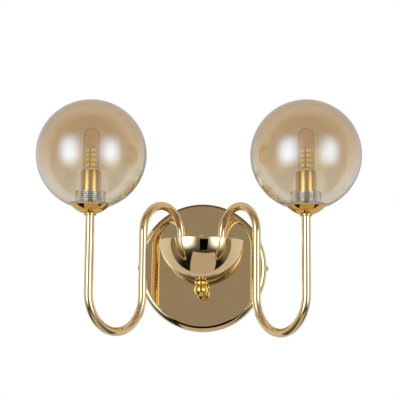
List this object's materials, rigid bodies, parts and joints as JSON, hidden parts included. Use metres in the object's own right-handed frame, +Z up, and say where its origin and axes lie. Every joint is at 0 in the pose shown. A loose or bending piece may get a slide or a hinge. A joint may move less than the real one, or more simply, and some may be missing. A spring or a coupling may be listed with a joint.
{
  "type": "wall sconce",
  "caption": "Wall sconce with a round polished canopy, a half bowl, swan-neck arms and amber glass globes that screw onto threaded lamp holders.",
  "frame": {"origin": "centre of the canopy on the wall plane, between the bracket's two wall screws", "axes": "+Z up the wall, +X to the right of someone who faces the light, +Y into the wall"},
  "size_m": [0.3524, 0.2412, 0.2551],
  "materials": {
    "polished_gold": "mirror polished, pale gold plated",
    "zinc_steel": "zinc plated",
    "turned_aluminium": "turned, ridged",
    "white_ceramic": "unglazed",
    "bulb_plastic": "satin",
    "pin_metal": "tinned",
    "led_core": "matte",
    "led_board": "satin",
    "led_phosphor": "silicone over phosphor",
    "clear_cover": "clear",
    "clear_silicone": "translucent",
    "amber_glass": "clear amber, thin metallic lustre",
    "lead_sheath": "flexible sheath",
    "brass_screw": "plain",
    "terminal_plastic": "moulded"
  },
  "bodies": {
    "fixture": {"arm_left": "polished_gold", "arm_nuts": "zinc_steel", "arm_right": "polished_gold", "bowl": "polished_gold", "bowl_lid": "polished_gold", "bowl_nipple": "zinc_steel", "bowl_rod": "zinc_steel", "canopy": "polished_gold", "cup_left": "polished_gold", "cup_right": "polished_gold", "cup_ring_left": "polished_gold", "cup_ring_right": "polished_gold", "dome_nut": "polished_gold", "earth_screw": "brass_screw", "finial": "polished_gold", "holder_nuts": "zinc_steel", "lead_left": "lead_sheath", "lead_right": "lead_sheath", "nipple_nuts": "zinc_steel", "sleeve_left": "polished_gold", "sleeve_right": "polished_gold", "socket_left": "white_ceramic", "socket_right": "white_ceramic", "terminal_block": "terminal_plastic", "terminal_screws": "brass_screw", "threaded_collar_left": "turned_aluminium", "threaded_collar_right": "turned_aluminium", "wall_bracket": "zinc_steel"},
    "gasket_left": {"gasket_left": "clear_silicone"},
    "globe_left": {"globe_left": "amber_glass"},
    "bulb_left": {"bulb_base_left": "bulb_plastic", "bulb_pins_left": "pin_metal", "led_core_left": "led_core", "led_boards_left": "led_board", "led_chips_left": "led_phosphor", "bulb_cover_left": "clear_cover"},
    "side_screw_left": {"side_screw_left": "polished_gold"},
    "gasket_right": {"gasket_right": "clear_silicone"},
    "globe_right": {"globe_right": "amber_glass"},
    "bulb_right": {"bulb_base_right": "bulb_plastic", "bulb_pins_right": "pin_metal", "led_core_right": "led_core", "led_boards_right": "led_board", "led_chips_right": "led_phosphor", "bulb_cover_right": "clear_cover"},
    "side_screw_right": {"side_screw_right": "polished_gold"}
  },
  "joints": [
    {"name": "globe_left_rise", "type": "slide", "parent": "fixture", "child": "gasket_left", "axis": [0, 0, 1], "range_m": [0, 0.0106]},
    {"name": "globe_left_turn", "type": "hinge", "parent": "gasket_left", "child": "globe_left", "pos_m": [-0.11621, -0.18124, 0.10936], "axis": [0, 0, 1], "range_deg": [0, 1800]},
    {"name": "bulb_left_pull", "type": "slide", "parent": "fixture", "child": "bulb_left", "axis": [0, 0, 1], "range_m": [0, 0.0115]},
    {"name": "side_screw_left_draw", "type": "slide", "parent": "fixture", "child": "side_screw_left", "axis": [-1, 0, 0], "range_m": [0, 0.008]},
    {"name": "globe_right_rise", "type": "slide", "parent": "fixture", "child": "gasket_right", "axis": [0, 0, 1], "range_m": [0, 0.0106]},
    {"name": "globe_right_turn", "type": "hinge", "parent": "gasket_right", "child": "globe_right", "pos_m": [0.11621, -0.18124, 0.10936], "axis": [0, 0, 1], "range_deg": [0, 1800]},
    {"name": "bulb_right_pull", "type": "slide", "parent": "fixture", "child": "bulb_right", "axis": [0, 0, 1], "range_m": [0, 0.0115]},
    {"name": "side_screw_right_draw", "type": "slide", "parent": "fixture", "child": "side_screw_right", "axis": [1, 0, 0], "range_m": [0, 0.008]}
  ],
  "couplings": [
    {"joint": "globe_left_rise", "follows": "globe_left_turn", "m_per_rad": 0.00033423},
    {"joint": "globe_right_rise", "follows": "globe_right_turn", "m_per_rad": 0.00033423}
  ]
}
